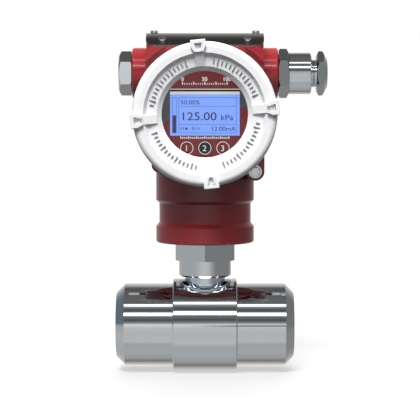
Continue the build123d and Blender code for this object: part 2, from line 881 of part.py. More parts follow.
# Display face plate with the LCD opening, three key holes and four posts behind it
key_places = [(-key_pitch, -key_drop), (0, -key_drop), (key_pitch, -key_drop)]
with BuildPart() as display_face:
    with BuildSketch(front_plane(face_back_y, z=barrel_z)):
        Circle(display_board_d / 2)
        with Locations((0, lcd_rise)):
            Rectangle(lcd_width + 2 * lcd_fit, lcd_height + 2 * lcd_fit, mode=Mode.SUBTRACT)
        with Locations(*key_places):
            Circle(key_d / 2 + key_fit, mode=Mode.SUBTRACT)
    extrude(amount=face_t)
    with BuildSketch(front_plane(display_board_y, z=barrel_z)):
        with PolarLocations(display_screw_r, 4, start_angle=45):
            Circle(post_d / 2)
    extrude(amount=display_board_gap)
    with Locations(front_plane(face_y, z=barrel_z)):
        with PolarLocations(display_screw_r, 4, start_angle=45):
            CounterSinkHole(
                display_screw_d / 2,
                display_screw_head_d / 2,
                depth=face_t + display_board_gap,
                counter_sink_angle=90,
            )
write(display_face.part, "display_face")

# LCD module: the glass in the opening and a wider carrier behind the face plate
with BuildPart() as lcd_module:
    with BuildSketch(front_plane(display_board_y, z=barrel_z + lcd_rise)):
        Rectangle(lcd_width + 2 * lcd_rim, lcd_height + 2 * lcd_rim)
    extrude(amount=display_board_gap)
    with BuildSketch(front_plane(face_back_y, z=barrel_z + lcd_rise)):
        Rectangle(lcd_width, lcd_height)
    extrude(amount=face_t - lcd_sink)
write(lcd_module.part, "lcd_module")

# Round keys, each with a flange behind the face plate and a foot over its switch
for name, place in zip(("key_left", "key_middle", "key_right"), key_places):
    key_x, key_z = place[0], barrel_z + place[1]
    flange_y = face_back_y + key_seat_gap + key_flange_t
    foot_y = display_board_y - key_travel - key_seat_gap
    with BuildPart() as key:
        with BuildSketch(front_plane(foot_y, key_x, key_z)):
            Circle(key_foot_d / 2)
        extrude(amount=foot_y - flange_y)
        with BuildSketch(front_plane(flange_y, key_x, key_z)):
            Circle(key_flange_d / 2)
        extrude(amount=key_flange_t)
        with BuildSketch(front_plane(flange_y - key_flange_t, key_x, key_z)):
            Circle(key_d / 2)
        extrude(amount=face_t + key_seat_gap + key_proud)
        fillet(key.faces().sort_by(Axis.Y)[0].edges(), key_round)
    write(key.part, name)

# Display board
with BuildPart() as display_board:
    with BuildSketch(front_plane(display_board_back_y, z=barrel_z)):
        Circle(display_board_d / 2)
        with PolarLocations(display_screw_r, 4, start_angle=45):
            Circle(display_screw_d / 2, mode=Mode.SUBTRACT)
    extrude(amount=board_t)
write(display_board.part, "display_board")

# Hexagonal standoffs between the two boards, with studs into the housing's posts
standoff_length = main_board_front_y - display_board_back_y
with BuildPart() as display_standoffs:
    with BuildSketch(front_plane(main_board_front_y, z=barrel_z)):
        with PolarLocations(display_screw_r, 4, start_angle=45):
            RegularPolygon(standoff_af / 2, 6, major_radius=False)
    extrude(amount=standoff_length)
    with BuildSketch(front_plane(main_board_front_y, z=barrel_z)):
        with PolarLocations(display_screw_r, 4, start_angle=45):
            Circle(display_screw_d / 2)
    extrude(amount=-(board_t + stud_depth - edge))
    with BuildSketch(front_plane(display_board_back_y, z=barrel_z)):
        with PolarLocations(display_screw_r, 4, start_angle=45):
            Circle(display_screw_d / 2)
    extrude(amount=-(display_screw_bite + edge), mode=Mode.SUBTRACT)
write(display_standoffs.part, "display_standoffs")

# Countersunk screws through face plate and display board
display_screw_length = face_t + display_board_gap + board_t + display_screw_bite
head_r = display_screw_head_d / 2
shank_r = display_screw_d / 2
with BuildPart() as display_screw:
    with BuildSketch(Plane.XZ):
        Polygon(
            (0, 0),
            (head_r, 0),
            (shank_r, shank_r - head_r),
            (shank_r, -display_screw_length),
            (0, -display_screw_length),
            align=None,
        )
    revolve(axis=Axis.Z)
    with BuildSketch():
        Rectangle(display_screw_head_d, display_slot_width)
    extrude(amount=-edge, mode=Mode.SUBTRACT)
with BuildPart() as display_screws:
    with Locations(front_plane(face_y, z=barrel_z)):
        with PolarLocations(display_screw_r, 4, start_angle=45):
            add(display_screw.part)
write(display_screws.part, "display_screws")

# Main board with a flat at its foot
with BuildPart() as main_board:
    with BuildSketch(front_plane(main_board_y, z=barrel_z)):
        Circle(main_board_d / 2)
        with Locations((0, -main_board_flat - main_board_d / 2)):
            Rectangle(main_board_d, main_board_d, mode=Mode.SUBTRACT)
        with PolarLocations(display_screw_r, 4, start_angle=45):
            Circle(display_screw_d / 2, mode=Mode.SUBTRACT)
        with PolarLocations(board_screw_r, 2):
            Circle(board_screw_d / 2, mode=Mode.SUBTRACT)
    extrude(amount=board_t)
write(main_board.part, "main_board")

# Components that stand on the main board: width, height, thickness and place of each
board_blocks = (
    (14.0, 12.0, 7.0, -12.0, 8.0),
    (11.0, 11.0, 1.6, 6.0, 6.0),
    (9.0, 6.0, 1.4, 8.0, -8.0),
    (6.0, 6.0, 2.4, -14.0, -10.0),
    (16.0, 5.0, 6.0, 0.0, 22.0),
)
board_cans = ((4.0, 9.0, 18.0, 14.0), (4.0, 9.0, 20.0, -4.0), (3.0, 7.0, -4.0, -16.0))
with BuildPart() as board_components:
    for width, height, thickness, place_x, place_z in board_blocks:
        with BuildSketch(front_plane(main_board_front_y, place_x, barrel_z + place_z)):
            Rectangle(width, height)
        extrude(amount=thickness)
    for can_r, thickness, place_x, place_z in board_cans:
        with BuildSketch(front_plane(main_board_front_y, place_x, barrel_z + place_z)):
            Circle(can_r)
        extrude(amount=thickness)
write(board_components.part, "board_components")

# Screws of the main board
board_screw = pan_screw(
    board_screw_head_d,
    board_screw_head_t,
    board_screw_d,
    board_t + stud_depth - edge,
    ground_slot_width,
    shallow_slot_depth,
)
with BuildPart() as main_board_screws:
    with Locations(front_plane(main_board_front_y, z=barrel_z)):
        with PolarLocations(board_screw_r, 2):
            add(board_screw)
write(main_board_screws.part, "main_board_screws")

# Plug of the sensor lead behind the main board, and the lead down to the capsule
with BuildPart() as lead_plug:
    with BuildSketch(front_plane(partition_y - lead_plug_gap, z=lead_plug_z)):
        Rectangle(lead_plug_width, lead_plug_height, align=(Align.CENTER, Align.MIN))
    extrude(amount=partition_y - lead_plug_gap - main_board_y)
write(lead_plug.part, "lead_plug")
with BuildPart() as sensor_lead:
    with BuildLine():
        FilletPolyline(
            (0, 0, stub_top_z),
            (0, 0, stub_top_z + lead_straight),
            (0, lead_y, neck_top_z - lead_straight / 2),
            (0, lead_y, lead_plug_z),
            radius=lead_bend_r,
        )
    with BuildSketch(Plane.XY.offset(stub_top_z)):
        Circle(lead_d / 2)
    sweep()
write(sensor_lead.part, "sensor_lead")

# Terminal block with a bay for each terminal
bay_places = [
    ((i - (terminal_count - 1) / 2) * terminal_pitch, 0) for i in range(terminal_count)
]
block_screw_places = [(block_screw_x, block_screw_z_shift), (-block_screw_x, block_screw_z_shift)]
block_face_y = partition_back_y + block_t
with BuildPart() as terminal_block:
    with BuildSketch(back_plane(partition_back_y, z=block_z)):
        Rectangle(block_width, block_height)
    extrude(amount=block_t)
    chamfer(terminal_block.edges().filter_by(Axis.Y), block_edge)
    with BuildSketch(back_plane(block_face_y, z=block_z)):
        with Locations(*[(x, -terminal_bay / 4) for x, z in bay_places]):
            Rectangle(terminal_bay, block_height - terminal_bay / 2)
    extrude(amount=-terminal_bay_depth, mode=Mode.SUBTRACT)
    with BuildSketch(back_plane(block_face_y - terminal_bay_depth, z=block_z)):
        with Locations(*bay_places):
            Circle(terminal_screw_d / 2)
    extrude(amount=-terminal_screw_depth, mode=Mode.SUBTRACT)
    with Locations(back_plane(block_face_y, z=block_z)):
        with Locations(*block_screw_places):
            Hole(board_screw_d / 2, depth=block_t)
write(terminal_block.part, "terminal_block")

# Terminal screws, on the floor of each bay
terminal_screw = pan_screw(
    terminal_head_d,
    terminal_head_t,
    terminal_screw_d,
    terminal_screw_depth - edge,
    ground_slot_width,
    ground_slot_depth,
)
with BuildPart() as terminal_screws:
    with Locations(back_plane(block_face_y - terminal_bay_depth, z=block_z)):
        with Locations(*bay_places):
            add(terminal_screw)
write(terminal_screws.part, "terminal_screws")

# Screws of the terminal block
block_screw = pan_screw(
    block_screw_head_d,
    board_screw_head_t,
    board_screw_d,
    block_t + block_screw_bite,
    ground_slot_width,
    shallow_slot_depth,
)
with BuildPart() as terminal_block_screws:
    with Locations(back_plane(block_face_y, z=block_z)):
        with Locations(*block_screw_places):
            add(block_screw)
write(terminal_block_screws.part, "terminal_block_screws")

# Ground screw inside the terminal compartment
inner_screw = pan_screw(
    ground_head_d,
    ground_head_t,
    ground_screw_d,
    terminal_screw_depth - edge,
    ground_slot_width,
    ground_slot_depth,
)
with BuildPart() as inner_ground_screw:
    inner_boss_y = partition_back_y + inner_ground_boss_t
    with Locations(back_plane(inner_boss_y, z=barrel_z - inner_ground_drop)):
        add(inner_screw)
write(inner_ground_screw.part, "inner_ground_screw")

# Nameplate: a rounded sheet bent over the arched pad
plate_width = crown_width + 2 * plate_overhang
with BuildPart() as nameplate:
    with BuildSketch(side_plane(-plate_width / 2, z=pad_centre_z)):
        Circle(pad_radius + plate_t)
        Circle(pad_radius, mode=Mode.SUBTRACT)
    extrude(amount=plate_width)
    with BuildSketch(Plane.XY.offset(pad_centre_z)):
        RectangleRounded(plate_width, pad_chord - 2 * plate_edge_gap, plate_corner)
    extrude(amount=pad_radius + 2 * plate_t, mode=Mode.INTERSECT)
    for place in plate_screw_places:
        with BuildSketch(place):
            Circle(plate_screw_d / 2)
        extrude(amount=2 * plate_t, both=True, mode=Mode.SUBTRACT)
write(nameplate.part, "nameplate")

# Screws of the nameplate
plate_screw = pan_screw(
    plate_screw_head_d,
    plate_screw_head_t,
    plate_screw_d,
    plate_t + plate_screw_depth - edge,
    plate_slot_width,
    shallow_slot_depth,
)
with BuildPart() as nameplate_screws:
    for place in plate_screw_places:
        with Locations(place.offset(plate_t)):
            add(plate_screw)
write(nameplate_screws.part, "nameplate_screws")

# Seal rings under the two conduit fittings
for side, name in ((-1, "plug_seal"), (1, "gland_seal")):
    fitting_seal = flat_ring(
        side_plane(side * conduit_face_x, conduit_y, conduit_z, side),
        entry_d / 2 + fitting_seal_wall,
        entry_d / 2,
        fitting_seal_t,
    )
    write(fitting_seal, name)

# Blanking plug in the left conduit entry
with BuildPart() as conduit_plug:
    with Locations(side_plane(-fitting_x, conduit_y, conduit_z, -1)):
        add(turned_hexagon(plug_hex_af, plug_hex_t, plug_foot_bevel, plug_face_bevel))
    with BuildSketch(side_plane(-fitting_x, conduit_y, conduit_z, -1)):
        Circle(entry_d / 2 - entry_fit)
    extrude(amount=-(plug_shank + fitting_seal_t))
    chamfer(conduit_plug.faces().sort_by(Axis.X)[-1].edges(), edge)
write(conduit_plug.part, "conduit_plug")

# Cable gland body in the right conduit entry
with BuildPart() as gland_body:
    with BuildSketch(side_plane(conduit_face_x - gland_shank, conduit_y, conduit_z)):
        Circle(entry_d / 2 - entry_fit)
    extrude(amount=gland_shank + fitting_seal_t + gland_hex_t / 2)
    with Locations(side_plane(fitting_x, conduit_y, conduit_z)):
        add(
            turned_hexagon(gland_hex_af, gland_hex_t, gland_hex_foot_bevel, gland_hex_face_bevel)
        )
    with BuildSketch(side_plane(fitting_x + gland_hex_t, conduit_y, conduit_z)):
        Circle(gland_barrel_d / 2)
    extrude(amount=gland_barrel_length)
    chamfer(gland_body.faces().sort_by(Axis.X)[-1].edges(), gland_barrel_bevel)
    with BuildSketch(side_plane(gland_floor_x, conduit_y, conduit_z)):
        Circle(gland_bore_d / 2)
    extrude(amount=gland_end_x - gland_floor_x, mode=Mode.SUBTRACT)
    with BuildSketch(side_plane(conduit_face_x - gland_shank, conduit_y, conduit_z)):
        Circle(gland_way_d / 2)
    extrude(amount=gland_end_x, mode=Mode.SUBTRACT)
write(gland_body.part, "gland_body")

# Rubber bush and slip ring inside the gland
gland_bush = flat_ring(
    side_plane(gland_floor_x, conduit_y, conduit_z),
    gland_bore_d / 2 - gland_neck_fit,
    gland_bush_bore_d / 2,
    gland_bush_length,
)
write(gland_bush, "gland_bush")
gland_ring = flat_ring(
    side_plane(gland_ring_x, conduit_y, conduit_z),
    gland_bore_d / 2 - gland_neck_fit,
    (gland_bush_bore_d + gland_way_d) / 4,
    gland_ring_t,
)
write(gland_ring, "gland_ring")

# Gland nut: threaded neck that enters the body, and its hexagon
with BuildPart() as gland_nut:
    with BuildSketch(side_plane(gland_nut_foot_x, conduit_y, conduit_z)):
        Circle(gland_bore_d / 2 - gland_neck_fit)
    extrude(amount=gland_nut_x - gland_nut_foot_x)
    with Locations(side_plane(gland_nut_x, conduit_y, conduit_z)):
        add(
            turned_hexagon(gland_nut_af, gland_nut_t, gland_nut_foot_bevel, gland_nut_face_bevel)
        )
    with BuildSketch(side_plane(gland_nut_foot_x, conduit_y, conduit_z)):
        Circle(gland_way_d / 2)
    extrude(amount=gland_nut_x + gland_nut_t, mode=Mode.SUBTRACT)
    mouth = gland_nut.faces().sort_by(Axis.X)[-1].edges().filter_by(GeomType.CIRCLE)
    chamfer(mouth.sort_by(SortBy.RADIUS)[0], gland_mouth_bevel)
write(gland_nut.part, "gland_nut")

# Outer ground screw with its washer
ground_washer = flat_ring(
    front_plane(ground_boss_y, ground_x, ground_z),
    ground_washer_d / 2,
    ground_screw_d / 2 + 2 * ground_screw_fit,
    ground_washer_t,
)
write(ground_washer, "ground_washer")
outer_screw = pan_screw(
    ground_head_d,
    ground_head_t,
    ground_screw_d,
    ground_screw_depth,
    ground_slot_width,
    ground_slot_depth,
)
with BuildPart() as ground_screw:
    with Locations(front_plane(ground_boss_y - ground_washer_t, ground_x, ground_z)):
        add(outer_screw)
write(ground_screw.part, "ground_screw")

# Set screws: two behind the covers' rims and one against the stem's neck
with BuildPart() as cover_lock_screws:
    for side in (-1, 1):
        tip_y = side * (barrel_length / 2 - edge)
        facing = back_plane if side < 0 else front_plane
        start = facing(tip_y - side * set_screw_length, -side * lock_x, lock_z)
        with Locations(start):
            add(set_screw(set_screw_length))
write(cover_lock_screws.part, "cover_lock_screws")
neck_screw_length = flange_d / 2 - neck_screw_sink - neck_d / 2 - edge
with BuildPart() as neck_lock_screw:
    with Locations(front_plane(neck_screw_sink - flange_d / 2, z=neck_screw_z)):
        add(set_screw(neck_screw_length))
write(neck_lock_screw.part, "neck_lock_screw")
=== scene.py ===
from math import atan2, cos, degrees, pi, radians, sin

import bmesh
import bpy
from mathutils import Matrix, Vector


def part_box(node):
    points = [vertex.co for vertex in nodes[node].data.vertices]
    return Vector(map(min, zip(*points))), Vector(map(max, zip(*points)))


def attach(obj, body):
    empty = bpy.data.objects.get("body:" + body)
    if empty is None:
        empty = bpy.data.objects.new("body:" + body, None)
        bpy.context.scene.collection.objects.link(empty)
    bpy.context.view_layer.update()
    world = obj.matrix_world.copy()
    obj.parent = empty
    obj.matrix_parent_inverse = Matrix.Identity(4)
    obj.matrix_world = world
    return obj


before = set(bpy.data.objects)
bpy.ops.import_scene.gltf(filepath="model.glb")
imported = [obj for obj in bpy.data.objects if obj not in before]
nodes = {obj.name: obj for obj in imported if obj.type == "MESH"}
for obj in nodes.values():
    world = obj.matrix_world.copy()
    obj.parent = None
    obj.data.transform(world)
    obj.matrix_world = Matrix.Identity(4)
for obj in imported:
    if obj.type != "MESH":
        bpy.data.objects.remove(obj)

# Looks of the pressure transmitter. Sizes are in metres; MM turns millimetres into metres.
MM = 0.001
scene = bpy.context.scene
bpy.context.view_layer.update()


def corners(node):
    """Lowest and highest corner of a node of the solid model."""
    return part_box(node)


def middle(node):
    """Centre of a node's box."""
    low, high = corners(node)
    return (low + high) / 2


# Places taken from the solid model
axis_x, axis_z = middle("window_ring").x, middle("window_ring").z
cover_front_y = corners("front_cover")[0].y
face_y = corners("display_face")[0].y
lcd_y = corners("lcd_module")[0].y
gland_end_x = corners("gland_body")[1].x
nut_centre = middle("gland_nut")
floor_z = corners("process_pipe")[0].z

# Camera: a long lens a little above the window's centre, looking slightly down; pitch in degrees
picture_pixels = 420
focal_pixels = 1700.0
sensor_mm = 36.0
camera_x = 0.00347
camera_distance = 1.1893
camera_height = 0.1523
camera_pitch = 3.465
clip_near, clip_far = 0.01, 20.0


def make_camera():
    """The camera at the photograph's angle."""
    data = bpy.data.cameras.new("camera")
    data.sensor_width = sensor_mm
    data.lens = focal_pixels * sensor_mm / picture_pixels
    data.clip_start = clip_near
    data.clip_end = clip_far
    camera = bpy.data.objects.new("camera", data)
    scene.collection.objects.link(camera)
    camera.location = (camera_x, -camera_distance, camera_height)
    camera.rotation_euler = (radians(90 - camera_pitch), 0, 0)
    scene.camera = camera


# Node helpers
def new_tree(name, kind):
    """A material with only its output and one shader node, linked to it."""
    material = bpy.data.materials.new(name)
    material.use_nodes = True
    tree = material.node_tree
    tree.nodes.clear()
    output = tree.nodes.new("ShaderNodeOutputMaterial")
    shader = tree.nodes.new(kind)
    tree.links.new(shader.outputs[0], output.inputs["Surface"])
    return material, tree, shader


def new_material(name):
    """A material with only its output and a Principled shader."""
    return new_tree(name, "ShaderNodeBsdfPrincipled")


def object_noise(tree, scale, detail=3.0, packing=(1, 1, 1), roughness=0.5):
    """Noise in object space, packed more closely along some of the axes."""
    place = tree.nodes.new("ShaderNodeTexCoord")
    mapping = tree.nodes.new("ShaderNodeMapping")
    mapping.inputs["Scale"].default_value = packing
    noise = tree.nodes.new("ShaderNodeTexNoise")
    noise.inputs["Scale"].default_value = scale
    noise.inputs["Detail"].default_value = detail
    noise.inputs["Roughness"].default_value = roughness
    tree.links.new(place.outputs["Object"], mapping.inputs["Vector"])
    tree.links.new(mapping.outputs["Vector"], noise.inputs["Vector"])
    return noise.outputs["Fac"]


def ramp(tree, factor, stops):
    """A colour ramp with (position, colour) stops."""
    node = tree.nodes.new("ShaderNodeValToRGB")
    elements = node.color_ramp.elements
    while len(elements) > 1:
        elements.remove(elements[-1])
    elements[0].position = stops[0][0]
    elements[0].color = (*stops[0][1], 1)
    for position, colour in stops[1:]:
        element = elements.new(position)
        element.color = (*colour, 1)
    tree.links.new(factor, node.inputs["Fac"])
    return node.outputs["Color"]


def spread(tree, factor, low, high):
    """Maps a 0 to 1 factor to a range."""
    node = tree.nodes.new("ShaderNodeMapRange")
    node.inputs["To Min"].default_value = low
    node.inputs["To Max"].default_value = high
    tree.links.new(factor, node.inputs["Value"])
    return node.outputs["Result"]


def bump(tree, shader, height, strength, distance):
    """Adds a bump from a height factor."""
    node = tree.nodes.new("ShaderNodeBump")
    node.inputs["Strength"].default_value = strength
    node.inputs["Distance"].default_value = distance
    tree.links.new(height, node.inputs["Height"])
    tree.links.new(node.outputs["Normal"], shader.inputs["Normal"])


def mix_shaders(tree, factor, first, second):
    """Mixes two shaders by a factor."""
    node = tree.nodes.new("ShaderNodeMixShader")
    tree.links.new(factor, node.inputs["Fac"])
    tree.links.new(first, node.inputs[1])
    tree.links.new(second, node.inputs[2])
    return node.outputs["Shader"]


def shade_of(colour, amount):
    """The same colour, darker or lighter."""
    return tuple(min(1.0, channel * amount) for channel in colour)


def varied(tree, factor, colour, darkest, lightest):
    """A colour that drifts between two shades of itself; noise seldom leaves the span of the stops."""
    low_stop, high_stop = 0.3, 0.7
    stops = ((low_stop, shade_of(colour, darkest)), (high_stop, shade_of(colour, lightest)))
    return ramp(tree, factor, stops)


# Materials. Noise scales are per metre, depths are the heights of the texture.
def enamel(name, colour, roughness, coat, peel_depth=0.012 * MM, vary=0.06):
    """Sprayed enamel on a casting: slight colour drift and a fine orange-peel texture."""
    drift_scale, gloss_scale, peel_scale = 45.0, 300.0, 900.0
    gloss_vary, coat_roughness, peel_strength = 0.15, 0.06, 0.35
    material, tree, shader = new_material(name)
    drift = object_noise(tree, drift_scale)
    tree.links.new(varied(tree, drift, colour, 1 - vary, 1 + vary), shader.inputs["Base Color"])
    gloss = object_noise(tree, gloss_scale)
    rough = spread(tree, gloss, roughness * (1 - gloss_vary), roughness * (1 + gloss_vary))
    tree.links.new(rough, shader.inputs["Roughness"])
    shader.inputs["Coat Weight"].default_value = coat
    shader.inputs["Coat Roughness"].default_value = coat_roughness
    bump(tree, shader, object_noise(tree, peel_scale), peel_strength, peel_depth)
    return material


def steel(name, colour, roughness, packing, line_scale=260.0):
    """Polished metal with fine polishing lines along one direction."""
    line_depth, line_strength, line_detail, line_roughness = 0.0012 * MM, 0.3, 6.0, 0.65
    darkest, lightest = 0.95, 1.03
    gloss_scale, smoothest, roughest = 120.0, 0.7, 1.4
    material, tree, shader = new_material(name)
    lines = object_noise(tree, line_scale, line_detail, packing, line_roughness)
    tree.links.new(varied(tree, lines, colour, darkest, lightest), shader.inputs["Base Color"])
    shader.inputs["Metallic"].default_value = 1.0
    gloss = object_noise(tree, gloss_scale, packing=packing)
    rough = spread(tree, gloss, roughness * smoothest, roughness * roughest)
    tree.links.new(rough, shader.inputs["Roughness"])
    bump(tree, shader, lines, line_strength, line_depth)
    return material


def plastic(name, colour, roughness):
    """Moulded plastic or rubber with a fine grain."""
    grain_scale, grain_depth, grain_strength = 1400.0, 0.004 * MM, 0.3
    vary, gloss_scale, gloss_vary = 0.05, 400.0, 0.1
    material, tree, shader = new_material(name)
    grain = object_noise(tree, grain_scale)
    tree.links.new(varied(tree, grain, colour, 1 - vary, 1 + vary), shader.inputs["Base Color"])
    gloss = object_noise(tree, gloss_scale)
    rough = spread(tree, gloss, roughness * (1 - gloss_vary), roughness * (1 + gloss_vary))
    tree.links.new(rough, shader.inputs["Roughness"])
    bump(tree, shader, grain, grain_strength, grain_depth)
    return material


def backlit_and_painted_glow(name, colour, strength):
    """A glowing surface of the display with a slight drift in brightness: real backlight on the LCD
    screen, painted glow on the printed face, keys and print, which are no lamps.
    """
    drift_scale, vary = 60.0, 0.03
    base_share, roughness = 0.2, 0.4
    material, tree, shader = new_material(name)
    drift = object_noise(tree, drift_scale)
    tree.links.new(varied(tree, drift, colour, 1 - vary, 1 + vary), shader.inputs["Emission Color"])
    shader.inputs["Emission Strength"].default_value = strength
    shader.inputs["Base Color"].default_value = (*shade_of(colour, base_share), 1)
    shader.inputs["Roughness"].default_value = roughness
    return material


def clear_glass(name):
    """Flat clear glass: it lets light straight through and reflects a little at an angle."""
    pale_green, gloss_roughness, mirror_index = (0.97, 0.985, 0.98, 1), 0.02, 1.25
    wave_scale, wave_strength, wave_depth = 80.0, 0.02, 0.001 * MM
    material, tree, mix = new_tree(name, "ShaderNodeMixShader")
    through = tree.nodes.new("ShaderNodeBsdfTransparent")
    through.inputs["Color"].default_value = pale_green
    gloss = tree.nodes.new("ShaderNodeBsdfGlossy")
    gloss.inputs["Roughness"].default_value = gloss_roughness
    fresnel = tree.nodes.new("ShaderNodeFresnel")
    fresnel.inputs["IOR"].default_value = mirror_index
    bump(tree, gloss, object_noise(tree, wave_scale), wave_strength, wave_depth)
    tree.links.new(fresnel.outputs["Fac"], mix.inputs["Fac"])
    tree.links.new(through.outputs["BSDF"], mix.inputs[1])
    tree.links.new(gloss.outputs["BSDF"], mix.inputs[2])
    return material


# Colours, linear
red = (0.290, 0.012, 0.018)
white = (0.93, 0.935, 0.95)
# The display face red is lighter than the paint's own red: painted light that offsets the lid's shade
# over the face
face_red_painted_light = (0.60, 0.075, 0.080)
print_white = (0.92, 0.92, 0.92)
panel_grey = (0.26, 0.265, 0.255)
# Grey of the cover's tick bars: painted shade on marks that are white like the cover
tick_shade_colour = (0.23, 0.24, 0.255)
steel_tone = (0.79, 0.83, 0.86)
bright_tone = (0.78, 0.81, 0.84)
plate_tone = (0.215, 0.24, 0.23)
brass_tone = (0.72, 0.62, 0.40)
black_oxide = (0.16, 0.11, 0.11)
rubber_black = (0.012, 0.012, 0.013)
anodised_black = (0.018, 0.018, 0.020)
component_black = (0.02, 0.02, 0.022)
carrier_black = (0.03, 0.03, 0.032)
key_black = (0.030, 0.034, 0.036)
board_green = (0.012, 0.10, 0.035)
lcd_blue = (0.225, 0.385, 1.0)
lcd_cream = (0.74, 0.72, 0.66)
lcd_line = (0.085, 0.10, 0.36)
lcd_dark = (0.045, 0.035, 0.11)

# How the noise of polishing lines is packed along X, Y and Z: the lines run where it is packed least
lines_along_pipe = (1, 12, 12)
lines_along_plate = (1, 14, 14)
rings_round_stem = (1, 1, 10)
rings_round_fitting = (10, 1, 1)
no_direction = (1, 1, 1)
fine_lines, plate_lines = 900.0, 500.0

finish = {
    "red": enamel("red_enamel", red, roughness=0.32, coat=0.6),
    "white": enamel(
        "white_enamel", white, roughness=0.30, coat=0.6, peel_depth=0.02 * MM, vary=0.015
    ),
    # The tick bars' grey is painted shade, not a paint of their own
    "tick_painted_shade": enamel("painted_shade_ticks", tick_shade_colour, roughness=0.4, coat=0.3),
    "pipe": steel("polished_tee", steel_tone, 0.045, lines_along_pipe),
    "turned": steel("turned_steel", steel_tone, 0.07, rings_round_stem),
    "fitting": steel("polished_fitting", steel_tone, 0.06, rings_round_fitting),
    "bright": steel("bright_screw", bright_tone, 0.20, no_direction, fine_lines),
    "dark_screw": steel("black_oxide_screw", black_oxide, 0.35, no_direction, fine_lines),
    "plate": steel("satin_plate", plate_tone, 0.24, lines_along_plate, plate_lines),
    "brass": steel("plated_brass", brass_tone, 0.22, no_direction, fine_lines),
    "rubber": plastic("black_rubber", rubber_black, 0.6),
    "anodised": plastic("black_anodised", anodised_black, 0.4),
    "key_dark": plastic("dark_key", key_black, 0.36),
    "board": plastic("circuit_board", board_green, 0.4),
    "component": plastic("black_component", component_black, 0.45),
    "lcd_edge": plastic("lcd_carrier", carrier_black, 0.4),
    # The face and red keys glow though they are no lamps: painted light against the lid's shade
    "face": backlit_and_painted_glow("printed_red_face_painted_glow", face_red_painted_light, 0.22),
    "key_red": backlit_and_painted_glow("red_key_painted_glow", face_red_painted_light, 0.20),
    # The dark grey panels and the white print are printed colours with a painted glow on top; they are
    # no lamps
    "panel": backlit_and_painted_glow("dark_grey_print_painted_glow", panel_grey, 0.20),
    "print": backlit_and_painted_glow("white_print_painted_glow", print_white, 0.8),
    "lcd_blue": backlit_and_painted_glow("lcd_backlight", lcd_blue, 1.0),
    "lcd_cream": backlit_and_painted_glow("lcd_top_strip", lcd_cream, 0.85),
    "lcd_line": backlit_and_painted_glow("lcd_lines", lcd_line, 1.0),
    "lcd_dark": backlit_and_painted_glow("lcd_segments", lcd_dark, 1.0),
    "glass": clear_glass("window_glass"),
}

node_finish = {
    "red": ("housing",),
    "white": ("front_cover", "rear_cover"),
    "pipe": ("process_pipe",),
    "turned": ("sensor_stem",),
    "fitting": ("conduit_plug", "gland_body", "gland_nut"),
    "bright": (
        "sensor_capsule", "capsule_ring", "display_screws", "main_board_screws",
        "terminal_block_screws", "inner_ground_screw", "nameplate_screws", "gland_ring",
        "ground_washer", "ground_screw",
    ),
    "plate": ("nameplate",),
    "dark_screw": ("cover_lock_screws", "neck_lock_screw"),
    "brass": ("display_standoffs", "terminal_screws"),
    "rubber": (
        "capsule_seal", "neck_seal", "front_cover_seal", "rear_cover_seal", "window_gasket",
        "plug_seal", "gland_seal", "gland_bush", "sensor_lead",
    ),
    "anodised": ("window_ring",),
    "face": ("display_face",),
    "key_red": ("key_left", "key_right"),
    "key_dark": ("key_middle",),
    "board": ("display_board", "main_board"),
    "component": ("board_components", "lead_plug", "terminal_block"),
    "lcd_edge": ("lcd_module",),
    "glass": ("front_window",),
}


def paint_nodes():
    """Gives every node of the solid model its finish."""
    for kind, names in node_finish.items():
        for name in names:
            mesh = nodes[name].data
            mesh.materials.clear()
            mesh.materials.append(finish[kind])


# Mesh helpers. A shape is a list of points in metres and a list of faces.
print_thickness = 0.03 * MM


def add_piece(name, mesh, kind, body):
    """A new piece from a mesh, with its finish, riding on a body."""
    mesh.materials.clear()
    mesh.materials.append(finish[kind])
    piece = bpy.data.objects.new(name, mesh)
    scene.collection.objects.link(piece)
    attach(piece, body)


def mesh_piece(name, shape, kind, body, smooth=False):
    """A new piece from a shape, with its faces turned outwards."""
    points, faces = shape
    mesh = bpy.data.meshes.new(name)
    mesh.from_pydata(points, [], faces)
    mesh.validate()
    work = bmesh.new()
    work.from_mesh(mesh)
    bmesh.ops.recalc_face_normals(work, faces=work.faces)
    work.to_mesh(mesh)
    work.free()
    if smooth:
        for polygon in mesh.polygons:
            polygon.use_smooth = True
    add_piece(name, mesh, kind, body)


def printed(outline, y_front):
    """A printed shape from its outline in the XZ plane, from its front face backwards."""
    count = len(outline)
    points = [(x, y_front, z) for x, z in outline]
    points += [(x, y_front + print_thickness, z) for x, z in outline]
    faces = [tuple(range(count)), tuple(reversed(range(count, 2 * count)))]
    for i in range(count):
        j = (i + 1) % count
        faces.append((i, j, count + j, count + i))
    return points, faces


def joined(shapes):
    """One shape from several."""
    points, faces = [], []
    for shape_points, shape_faces in shapes:
        start = len(points)
        points += shape_points
        faces += [tuple(start + i for i in face) for face in shape_faces]
    return points, faces


def rectangle(x0, x1, z0, z1):
    """Outline of a rectangle."""
    return [(x0, z0), (x1, z0), (x1, z1), (x0, z1)]


def printed_ring(centre_x, centre_z, outer, inner, y_front, segments=64):
    """A printed ring in the XZ plane, from its front face backwards."""
    y_back = y_front + print_thickness
    section = ((outer, y_front), (inner, y_front), (inner, y_back), (outer, y_back))
    points, faces = [], []
    for i in range(segments):
        angle = 2 * pi * i / segments
        for radius, y in section:
            points.append((centre_x + radius * cos(angle), y, centre_z + radius * sin(angle)))
    for i in range(segments):
        j = (i + 1) % segments
        for k in range(4):
            m = (k + 1) % 4
            faces.append((4 * i + k, 4 * j + k, 4 * j + m, 4 * i + m))
    return points, faces


# Height of a capital in the built-in font, as a share of the font's size
capital_share = 0.729


